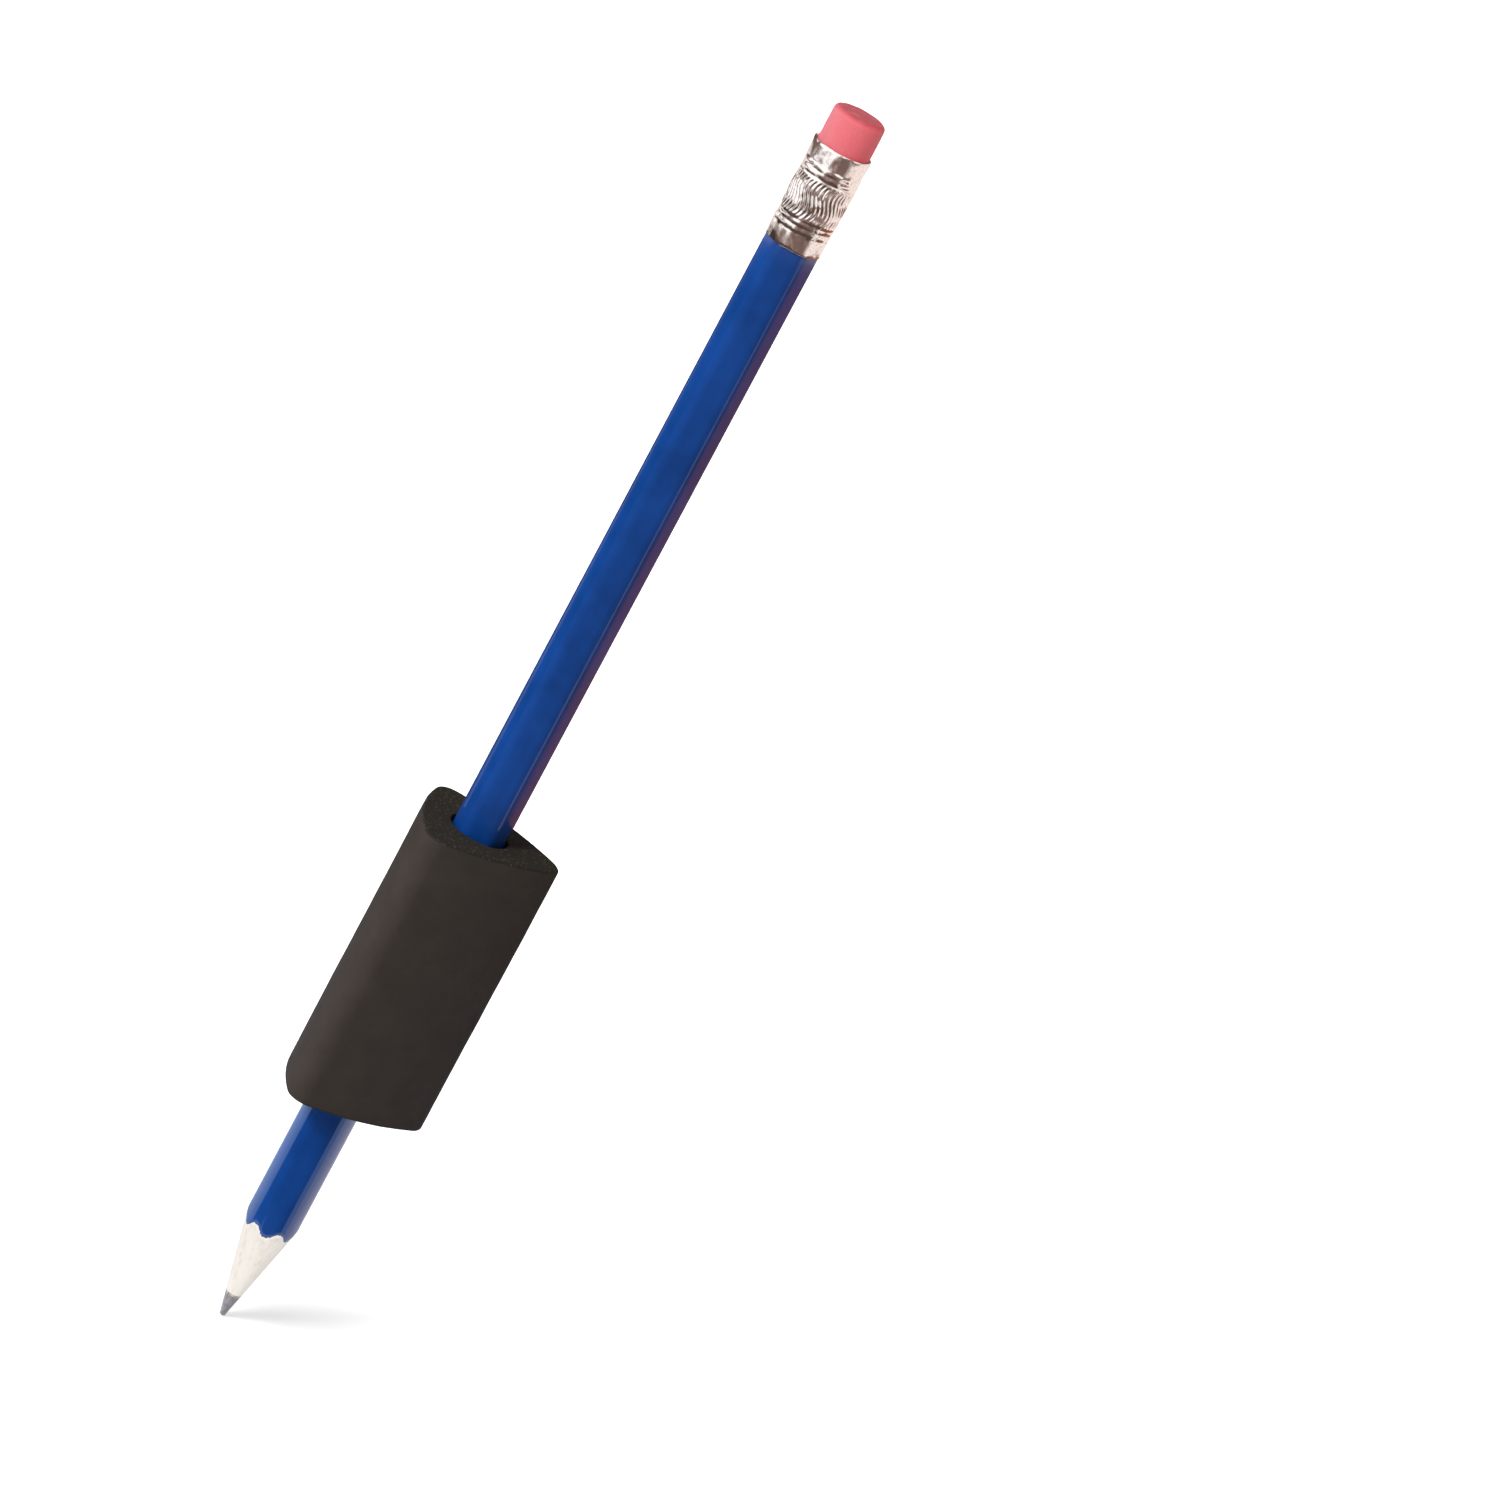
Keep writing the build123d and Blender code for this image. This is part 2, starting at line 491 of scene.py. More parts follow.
@dataclass(frozen=True)
class Graphite(Finish):
    """Graphite lead, shaved and rubbed on paper: mid grey with a soft metal sheen and fine scratches."""

    name: ClassVar[str] = "rubbed_graphite"
    lead_edge: float
    dark: str = "#847f87"
    pale: str = "#aaa6ae"
    wood: str = "#d8ccba"
    # Real scratches are under 0.1 mm wide: they are drawn coarser, so that they show
    scratch: float = 0.2 * MM
    scratch_length: float = 2.0 * MM
    tooth: float = 0.2 * MM
    tooth_length: float = 0.7 * MM
    relief: float = 0.03 * MM

    def surface(self, tree: NodeTree) -> dict[str, Any]:
        """Scratch the grey along the lead, and let torn wood fibres hang over its upper edge.

        Args:
            tree: The material's nodes.

        Returns:
            What the surface shader's sockets get.
        """
        place = add_node(tree, "ShaderNodeTexCoord", {}, "Object")
        scratch = self.streaks(tree, place, self.scratch, self.scratch_length)
        grey = self.toned(tree, scratch, (0.3, 0.7), self.dark, self.pale)
        teeth = self.streaks(tree, place, self.tooth, self.tooth_length, detail=1.0)
        height = add_node(tree, "ShaderNodeSeparateXYZ", {"Vector": place}, "Z")
        limits = {"From Min": self.lead_edge - self.tooth_length, "From Max": self.lead_edge}
        near = add_node(tree, "ShaderNodeMapRange", {"Value": height, **limits})
        torn = add_node(tree, "ShaderNodeMath", {0: teeth, 1: near}, operation="MULTIPLY")
        relief = {"Height": scratch, "Distance": self.relief, "Strength": 0.4}
        return {
            "Base Color": self.toned(tree, torn, (0.42, 0.5), grey, self.wood),
            "Metallic": 0.25,
            "Roughness": 0.42,
            "Normal": add_node(tree, "ShaderNodeBump", relief),
        }


@dataclass(frozen=True)
class RolledAluminium(Finish):
    """Thin aluminium, rolled and crimped, with a warm tint: bright, crinkled and lightly scuffed."""

    name: ClassVar[str] = "rolled_aluminium"
    bright: str = "#f8f1ee"
    dull: str = "#e2d6d1"
    dent: float = 1.1 * MM
    scuff: float = 0.3 * MM
    relief: float = 0.1 * MM

    def surface(self, tree: NodeTree) -> dict[str, Any]:
        """Scuff the clean metal and dent it softly.

        Args:
            tree: The material's nodes.

        Returns:
            What the surface shader's sockets get.
        """
        place = add_node(tree, "ShaderNodeTexCoord", {}, "Object")
        scuffs = {"Vector": place, "Scale": 1 / self.scuff, "Detail": 3.0}
        scuffs = add_node(tree, "ShaderNodeTexNoise", scuffs, "Fac")
        spread = {"Value": scuffs, "From Min": 0.4, "From Max": 0.75, "To Min": 0.12, "To Max": 0.22}
        dents = {"Vector": place, "Scale": 1 / self.dent, "Detail": 0.0}
        dents = add_node(tree, "ShaderNodeTexNoise", dents, "Fac")
        relief = {"Height": dents, "Distance": self.relief, "Strength": 0.35}
        return {
            "Base Color": self.toned(tree, scuffs, (0.5, 0.75), self.bright, self.dull),
            "Metallic": 1.0,
            "Roughness": add_node(tree, "ShaderNodeMapRange", spread),
            "Normal": add_node(tree, "ShaderNodeBump", relief),
        }


@dataclass(frozen=True)
class EraserRubber(Finish):
    """Pink vulcanised rubber with grit, darker at its top from rubbed wear and painted shade: dull, even,
    faintly speckled.
    """

    name: ClassVar[str] = "pink_eraser_rubber"
    top: float
    pink: str = "#e67e88"
    # Darker pink for the top: partly rubbed wear, partly painted shade of the upward face
    rubbed: str = "#c65761"
    pale: str = "#f19aa2"
    # Real grit is about 0.1 mm wide: it is drawn coarser, so that it shows
    grit: float = 0.25 * MM
    cloud: float = 1.6 * MM
    worn_and_shaded_height: float = 0.7 * MM
    relief: float = 0.05 * MM

    def surface(self, tree: NodeTree) -> dict[str, Any]:
        """Speck the rubber with grit, and darken its top, partly as rubbed wear and partly as painted shade.

        Args:
            tree: The material's nodes.

        Returns:
            What the surface shader's sockets get.
        """
        place = add_node(tree, "ShaderNodeTexCoord", {}, "Object")
        grit = add_node(tree, "ShaderNodeTexNoise", {"Vector": place, "Scale": 1 / self.grit}, "Fac")
        cloud = add_node(tree, "ShaderNodeTexNoise", {"Vector": place, "Scale": 1 / self.cloud}, "Fac")
        height = add_node(tree, "ShaderNodeSeparateXYZ", {"Vector": place}, "Z")
        # Patchy darkening of the top: rubbed wear together with painted shade
        limits = {"From Min": self.top - self.worn_and_shaded_height, "From Max": self.top - self.worn_and_shaded_height / 4}
        near = add_node(tree, "ShaderNodeMapRange", {"Value": height, **limits})
        patchy = add_node(tree, "ShaderNodeMapRange", {"Value": cloud, "From Min": 0.0, "From Max": 0.5})
        rubbed = add_node(tree, "ShaderNodeMath", {0: near, 1: patchy}, operation="MULTIPLY")
        tones = {MIX_FACTOR: rubbed, MIX_A: linear(self.pink), MIX_B: linear(self.rubbed)}
        body = add_node(tree, "ShaderNodeMix", tones, MIX_RESULT, data_type="RGBA")
        specks = {"Value": grit, "From Min": 0.6, "From Max": 0.75, "To Max": 0.5}
        specks = add_node(tree, "ShaderNodeMapRange", specks)
        tones = {MIX_FACTOR: specks, MIX_A: body, MIX_B: linear(self.pale)}
        relief = {"Height": grit, "Distance": self.relief, "Strength": 0.3}
        return {
            "Base Color": add_node(tree, "ShaderNodeMix", tones, MIX_RESULT, data_type="RGBA"),
            "Subsurface Weight": 0.6,
            "Subsurface Radius": (1.0, 0.25, 0.2),
            "Subsurface Scale": 2.0 * MM,
            "Roughness": 0.8,
            "Specular IOR Level": 0.3,
            "Normal": add_node(tree, "ShaderNodeBump", relief),
        }


@dataclass
class GripSleeve:
    """Soft sleeve to hold the pencil by: three crowned sides with rounded corners, and a round bore."""

    low: float
    high: float
    face_distance: float = 8.3 * MM
    side_radius: float = 34.0 * MM
    corner_radius: float = 2.6 * MM
    bore_radius: float = 4.2 * MM
    end_rounding: float = 0.45 * MM
    mouth_rounding: float = 0.2 * MM
    side_steps: int = 14
    corner_steps: int = 8
    end_steps: int = 5
    mouth_steps: int = 3
    rings: int = 9
    swell_grain: float = 9 * MM
    swell_depth: float = 0.12 * MM
    pore_grain: float = 1.2 * MM
    pore_depth: float = 0.02 * MM

    def build(self) -> Object:
        """Spin the section from arcs, bridge it to the bore, extrude it and round its ends.

        Returns:
            The sleeve.
        """
        side_centre = self.side_radius - self.face_distance
        reach = self.side_radius - self.corner_radius
        corner_centre = (sqrt(4 * reach**2 - 3 * side_centre**2) - side_centre) / 2
        lean = atan2(side_centre * sin(pi / 3), corner_centre + side_centre * cos(pi / 3))
        first = Vector((corner_centre, 0, self.low)) + on_circle(self.corner_radius, -lean * 180 / pi)
        sleeve = draw("foam_grip", [first])
        outline_count = 3 * (self.side_steps + self.corner_steps)
        with editing(sleeve):
            for corner in (0, 120, 240):
                pivot = on_circle(corner_centre, corner, self.low)
                bpy.ops.mesh.spin(steps=self.corner_steps, angle=-2 * lean, center=pivot, axis=UP)
                pivot = on_circle(-side_centre, corner + 60, self.low)
                bpy.ops.mesh.spin(steps=self.side_steps, angle=2 * lean - 2 * pi / 3, center=pivot, axis=UP)
            bpy.ops.mesh.select_all(action="SELECT")
            bpy.ops.mesh.remove_doubles(threshold=NEAR)
            place = {"vertices": outline_count, "radius": self.bore_radius, "location": (0, 0, self.low)}
            bpy.ops.mesh.primitive_circle_add(**place)
            bpy.ops.mesh.select_all(action="SELECT")
            bpy.ops.mesh.bridge_edge_loops()
            bpy.ops.mesh.select_all(action="SELECT")
            bpy.ops.mesh.extrude_region_move(TRANSFORM_OT_translate={"value": UP * (self.high - self.low)})
            pick(sleeve, Element.EDGE, lambda point: True, upright=True)
            bpy.ops.mesh.subdivide(number_cuts=self.rings)
            outside, mouth = self.bore_radius + MM, self.bore_radius + NEAR
            for end in (self.low, self.high):
                pick(sleeve, Element.EDGE, lambda p: abs(p.z - end) < NEAR and p.xy.length > outside)
                bpy.ops.mesh.bevel(offset=self.end_rounding, segments=self.end_steps, affect="EDGES")
                pick(sleeve, Element.EDGE, lambda p: abs(p.z - end) < NEAR and p.xy.length < mouth)
                bpy.ops.mesh.bevel(offset=self.mouth_rounding, segments=self.mouth_steps, affect="EDGES")
        close_up(sleeve)
        modify(sleeve, "SUBSURF", levels=2, render_levels=2)
        roughen(sleeve, self.swell_grain, self.swell_depth)
        roughen(sleeve, self.pore_grain, self.pore_depth)
        return sleeve

    def dress(self, sleeve: Object) -> None:
        """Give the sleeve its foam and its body.

        Args:
            sleeve: The sleeve's mesh.
        """
        shade(sleeve, FoamRubber((self.high - self.low) / 2).make())
        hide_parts("grip_sleeve")
        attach(sleeve, "grip")


@dataclass
class LacqueredBarrel:
    """Coat of lacquer on the hexagonal casing, with the ragged edge that a sharpener leaves."""

    point: float
    high: float
    across_flats: float = 7.05 * MM
    edge_radius: float = 1.7 * MM
    turn: float = -3.0
    thickness: float = 0.12 * MM
    cone_half_angle: float = 12.2
    worn_point_radius: float = 0.36 * MM
    # Half the angle in degrees that one of the six sides spans
    half_side: ClassVar[float] = 30.0
    edge_steps: int = 14
    spare_length: float = 2 * MM
    cut_margin: float = 0.5 * MM
    cut_segments: int = 300
    cut_rings: int = 24
    nick_grain: float = 1.1 * MM
    nick_depth: float = 0.05 * MM
    tear_grain: float = 0.3 * MM
    tear_depth: float = 0.08 * MM

    def cone_height(self, radius: float) -> float:
        """Return the height where the sharpened cone has a radius."""
        return self.point + (radius - self.worn_point_radius) / tan(radians(self.cone_half_angle))

    def blank(self, low_radius: float, high_radius: float) -> Object:
        """Make what a sharpener leaves of a blank, roughened inwards, to cut the coat with.

        Args:
            low_radius: The cone's radius where it starts, inside the coat.
            high_radius: The cone's radius where it ends, outside the coat.

        Returns:
            The closed form, whose upper part stands clear of the coat.
        """
        low, high = self.cone_height(low_radius), self.cone_height(high_radius)
        cone = start(
            "sharpened_blank", bpy.ops.mesh.primitive_cone_add, vertices=self.cut_segments,
            radius1=low_radius, radius2=high_radius, depth=high - low, location=(0, 0, (low + high) / 2),
        )
        with editing(cone):
            pick(cone, Element.EDGE, lambda point: True, upright=True)
            bpy.ops.mesh.subdivide(number_cuts=self.cut_rings)
            pick(cone, Element.FACE, lambda point: point.z > high - NEAR)
            bpy.ops.mesh.extrude_region_move(TRANSFORM_OT_translate={"value": UP * (self.high - low)})
        close_up(cone)
        roughen(cone, self.nick_grain, self.nick_depth, middle=1.0)
        roughen(cone, self.tear_grain, self.tear_depth, middle=1.0)
        return cone

    def build(self) -> Object:
        """Extrude a hexagon, bevel its edges, give it a wall and cut it by the blank.

        Returns:
            The coat.
        """
        apothem, corner = self.across_flats / 2, self.across_flats / sqrt(3)
        low = self.cone_height(apothem) - self.spare_length
        coat = start(
            "lacquer_skin", bpy.ops.mesh.primitive_circle_add, vertices=6, radius=corner,
            location=(0, 0, low), rotation=(0, 0, radians(self.turn + self.half_side)),
        )
        with editing(coat):
            bpy.ops.mesh.extrude_region_move(TRANSFORM_OT_translate={"value": UP * (self.high - low)})
            pick(coat, Element.EDGE, lambda point: True, upright=True)
            reach = self.edge_radius * tan(radians(self.half_side))
            bpy.ops.mesh.bevel(offset=reach, segments=self.edge_steps, affect="EDGES")
        close_up(coat)
        modify(coat, "SOLIDIFY", thickness=self.thickness, offset=-1.0, use_even_offset=True)
        cone = self.blank(apothem - self.cut_margin, corner + self.cut_margin)
        modify(coat, "BOOLEAN", operation="INTERSECT", object=cone, solver="EXACT")
        bpy.data.objects.remove(cone)
        return coat

    def dress(self, coat: Object) -> None:
        """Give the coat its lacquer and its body.

        Args:
            coat: The coat's mesh.
        """
        shade(coat, Lacquer().make(), crease=25.0)
        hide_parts("lacquer_coat")
        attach(coat, "pencil")


@dataclass
class CasingAndLead:
    """The slats and the lead, whose solids stay and get their finishes."""

    barrel: LacqueredBarrel
    lead_radius: float = 1.15 * MM

    def dress(self) -> None:
        """Give the slats their wood and the lead its graphite."""
        lead_edge = self.barrel.cone_height(self.lead_radius)
        finishes = {
            "front_slat": CasingWood(lead_edge).make(),
            "back_slat": CasingWood(lead_edge).make(),
            "lead_core": Graphite(lead_edge).make(),
        }
        for node, material in finishes.items():
            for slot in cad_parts[node].material_slots:
                slot.material = material


@dataclass
class Ferrule:
    """Rolled metal tube: plain skirt, two beads, a band of swaying flutes, two beads, plain collar."""

    low: float
    high: float
    skirt_radius: float = 3.92 * MM
    collar_radius: float = 3.95 * MM
    rim_flare: float = 0.1 * MM
    wall: float = 0.24 * MM
    lip: float = 0.06 * MM
    skirt_height: float = 2.4 * MM
    bead_pitch: float = 0.95 * MM
    bead_height: float = 0.05 * MM
    bead_sink: float = 0.025 * MM
    beads: int = 2
    bead_steps: int = 6
    collar_height: float = 2.4 * MM
    flute_count: int = 42
    flute_proud: float = 0.08 * MM
    flute_depth: float = 0.12 * MM
    flute_sway: float = 0.45 * MM
    flute_rings: int = 14
    steps_per_flute: int = 6
    # The bore widens between these heights above the foot of the flutes
    bore_step_low: float = 1 * MM
    bore_step_high: float = 2 * MM
    dent_grain: float = 3.0 * MM
    dent_depth: float = 0.25 * MM
    crinkle_grain: float = 1.5 * MM
    crinkle_depth: float = 0.09 * MM

    def beaded(self, radius: float, foot: float) -> list[Vector]:
        """Work out the outline of one group of half-round beads.

        Args:
            radius: The tube's radius beside the beads.
            foot: The height where the group starts.

        Returns:
            The outline's points, upwards from the foot.
        """
        points = []
        for bead in range(self.beads):
            for step in range(self.bead_steps):
                share = step / self.bead_steps
                place = foot + (bead + share) * self.bead_pitch
                bulge = self.bead_height * sin(pi * share) - self.bead_sink
                points.append(Vector((radius + bulge, 0, place)))
        return points

    def outline(self) -> tuple[list[Vector], list[float]]:
        """Work out the tube's outline.

        Returns:
            The outline from the skirt's inner edge round to the rim's, and the heights of the flutes' rings.
        """
        group = self.beads * self.bead_pitch
        flute_low = self.low + self.skirt_height + group
        flute_high = self.high - self.collar_height - group
        crest = self.collar_radius + self.flute_proud
        spacing = (flute_high - flute_low) / self.flute_rings
        rings = [flute_low + (ring + 0.5) * spacing for ring in range(self.flute_rings)]
        lip, rim = self.lip, self.collar_radius + self.rim_flare
        points = [
            Vector((self.skirt_radius - self.wall, 0, self.low + lip)),
            Vector((self.skirt_radius - self.wall / 2, 0, self.low)),
            Vector((self.skirt_radius, 0, self.low + lip)),
            Vector((self.skirt_radius, 0, self.low + 2 * lip)),
            Vector((self.skirt_radius, 0, self.low + self.skirt_height - lip)),
        ]
        points += self.beaded(self.skirt_radius, self.low + self.skirt_height)
        points += [Vector((crest, 0, ring)) for ring in rings]
        points += self.beaded(self.collar_radius, flute_high)
        points += [
            Vector((self.collar_radius, 0, self.high - self.collar_height)),
            Vector((self.collar_radius, 0, self.high - self.collar_height + lip)),
            Vector((rim, 0, self.high - 2 * lip)),
            Vector((rim, 0, self.high - lip)),
            Vector((rim - self.wall / 2, 0, self.high)),
            Vector((self.collar_radius - self.wall, 0, self.high - 2 * lip)),
            Vector((self.collar_radius - self.wall, 0, flute_low + self.bore_step_high)),
            Vector((self.skirt_radius - self.wall, 0, flute_low + self.bore_step_low)),
        ]
        return points, rings

    def build(self) -> Object:
        """Spin the outline round, then flute it by drawing in and turning its rings.

        Returns:
            The tube.
        """
        points, rings = self.outline()
        tube = draw("crimped_ferrule", points + points[:1])
        steps = self.flute_count * self.steps_per_flute
        crest = self.collar_radius + self.flute_proud

        def phase(point: Vector) -> int | None:
            """Return which step of its flute a point at the crest lies at, or None off the fluted rings."""
            if not (rings[1] - NEAR < point.z < rings[-2] + NEAR and point.xy.length > crest - NEAR):
                return None
            return round(atan2(point.y, point.x) / (2 * pi) * steps) % self.steps_per_flute

        with editing(tube):
            bpy.ops.mesh.spin(steps=steps, angle=2 * pi, center=(0, 0, 0), axis=UP)
        close_up(tube)
        with editing(tube):
            for step in range(1, self.steps_per_flute):
                pick(tube, Element.VERT, lambda point: phase(point) == step)
                share = (1 - cos(2 * pi * step / self.steps_per_flute)) / 2
                drawn = 1 - share * self.flute_depth / crest
                bpy.ops.transform.resize(value=(drawn, drawn, 1), center_override=(0, 0, 0))
            for ring in rings:
                along = (ring - rings[0]) / (rings[-1] - rings[0])
                turn = self.flute_sway / crest * sin(2 * pi * along)
                inner = crest - 2 * self.flute_depth
                pick(tube, Element.VERT, lambda p: abs(p.z - ring) < NEAR and p.xy.length > inner)
                bpy.ops.transform.rotate(value=-turn, orient_axis="Z", center_override=(0, 0, 0))
        modify(tube, "SUBSURF", levels=1, render_levels=1)
        roughen(tube, self.dent_grain, self.dent_depth)
        roughen(tube, self.crinkle_grain, self.crinkle_depth)
        return tube

    def dress(self, tube: Object) -> None:
        """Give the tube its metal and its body.

        Args:
            tube: The tube's mesh.
        """
        shade(tube, RolledAluminium().make(), crease=60.0)
        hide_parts("ferrule")
        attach(tube, "pencil")


@dataclass
class Eraser:
    """Pink rubber plug, rounded and rubbed at its free end."""

    low: float
    high: float
    radius: float = 3.64 * MM
    top_rounding: float = 0.75 * MM
    crown: float = 0.12 * MM
    segments: int = 64
    wall_cuts: int = 9
    rounding_steps: int = 6
    insets: tuple[float, ...] = (0.3, 0.3, 0.25)
    wear_grain: float = 3.0 * MM
    wear_depth: float = 0.16 * MM
    crumb_grain: float = 0.5 * MM
    crumb_depth: float = 0.03 * MM

    def build(self) -> Object:
        """Round a cylinder's top, inset it to a crown, and wear it uneven.

        Returns:
            The plug.
        """
        top = self.high - self.crown
        plug = start(
            "worn_eraser", bpy.ops.mesh.primitive_cylinder_add, vertices=self.segments, radius=self.radius,
            depth=top - self.low, location=(0, 0, (self.low + top) / 2),
        )
        with editing(plug):
            pick(plug, Element.EDGE, lambda point: True, upright=True)
            bpy.ops.mesh.subdivide(number_cuts=self.wall_cuts)
            pick(plug, Element.EDGE, lambda p: p.z > top - NEAR)
            bpy.ops.mesh.bevel(offset=self.top_rounding, segments=self.rounding_steps, affect="EDGES")
            pick(plug, Element.FACE, lambda p: p.z > top - NEAR)
            for share in self.insets:
                bpy.ops.mesh.inset(thickness=share * self.radius, depth=self.crown / len(self.insets))
        close_up(plug)
        modify(plug, "SUBSURF", levels=2, render_levels=2)
        roughen(plug, self.wear_grain, self.wear_depth)
        roughen(plug, self.crumb_grain, self.crumb_depth)
        return plug

    def dress(self, plug: Object) -> None:
        """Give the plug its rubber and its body.

        Args:
            plug: The plug's mesh.
        """
        shade(plug, EraserRubber(self.high).make())
        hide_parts("eraser")
        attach(plug, "pencil")


@dataclass
class Camera:
    """The photograph's camera, found from where the point and the eraser's top lie in the picture."""

    point: float
    top: float
    width: int = 1499
    height: int = 1500
    focal: float = 6650.0
    point_pixel: tuple[float, float] = (222.0, 1314.4)
    top_pixel: tuple[float, float] = (862.3, 113.9)
    depth_ratio: float = 1.0672
    azimuth: float = -4.7
    sensor: float = 36.0

    def ray(self, pixel: tuple[float, float]) -> Vector:
        """Return the place at depth 1 that a pixel sees, in the camera's own axes."""
        across, down = pixel[0] - self.width / 2, pixel[1] - self.height / 2
        return Vector((across / self.focal, -down / self.focal, -1.0))

    def build(self) -> Object:
        """Place the camera where the point and the eraser's top lie at their pixels.

        Returns:
            The camera, which is now the scene's own.
        """
        point, top = self.ray(self.point_pixel), self.ray(self.top_pixel) / self.depth_ratio
        scale = (self.top - self.point) / (top - point).length
        along = (top - point).normalized()
        origin = point * scale - along * self.point
        back = (origin - along * origin.dot(along)).normalized()
        side = back.cross(along)
        turn = radians(-self.azimuth)
        axes = Matrix((side * cos(turn) + back * sin(turn), back * cos(turn) - side * sin(turn), along))
        bpy.ops.object.camera_add(location=axes @ -origin, rotation=axes.to_euler())
        camera = bpy.context.active_object
        camera.name = "photo_camera"
        camera.data.sensor_fit = "HORIZONTAL"
        camera.data.sensor_width = self.sensor
        camera.data.lens = self.focal * self.sensor / self.width
        bpy.context.scene.camera = camera
        return camera


@dataclass
class Ring:
    """Ring of boards round the pencil that shows only in its gloss, like a studio's reflectors."""

    name: str
    low: float
    high: float
    stops: tuple[tuple[float, str], ...]
    strength: float = 1.0
    radius: float = 60 * MM
    fade: float = 0.0
    segments: int = 96
    # The colours start at minus this angle in degrees, behind the pencil, and end a full turn on
    seam: ClassVar[float] = 270.0

    def board(self) -> Material:
        """Colour the boards from stop to stop by the angle round the pencil, and fade them at their top.

        Returns:
            The boards' material.
        """
        material = empty_material(f"{self.name}_board")
        tree = material.node_tree
        place = add_node(tree, "ShaderNodeTexCoord", {}, "Object")
        facing = {"Vector": place, "Rotation": (0, 0, radians(self.seam - 180))}
        facing = add_node(tree, "ShaderNodeMapping", facing)
        turn = add_node(tree, "ShaderNodeTexGradient", {"Vector": facing}, "Fac", gradient_type="RADIAL")
        colour = add_node(tree, "ShaderNodeValToRGB", {"Fac": turn}, "Color")
        marks = colour.node.color_ramp.elements
        while len(marks) < len(self.stops):
            marks.new(1.0)
        for mark, (angle, tone) in zip(marks, self.stops):
            mark.position = (angle + self.seam) / 360
            mark.color = linear(tone)
        glow = add_node(tree, "ShaderNodeEmission", {"Color": colour, "Strength": self.strength})
        if self.fade:
            height = add_node(tree, "ShaderNodeSeparateXYZ", {"Vector": place}, "Z")
            limits = {"From Min": self.high - self.fade, "From Max": self.high}
            gone = add_node(tree, "ShaderNodeMapRange", {"Value": height, **limits})
            clear = add_node(tree, "ShaderNodeBsdfTransparent", {})
            glow = add_node(tree, "ShaderNodeMixShader", {0: gone, 1: glow, 2: clear})
        add_node(tree, "ShaderNodeOutputMaterial", {"Surface": glow})
        return material

    def build(self) -> Object:
        """Stand an open tube round the pencil.

        Returns:
            The ring.
        """
        ring = start(
            self.name, bpy.ops.mesh.primitive_cylinder_add, vertices=self.segments, radius=self.radius,
            depth=self.high - self.low, location=(0, 0, (self.low + self.high) / 2), end_fill_type="NOTHING",
        )
        ring.data.materials.append(self.board())
        ring.visible_camera = ring.visible_diffuse = ring.visible_shadow = ring.visible_transmission = False
        return ring


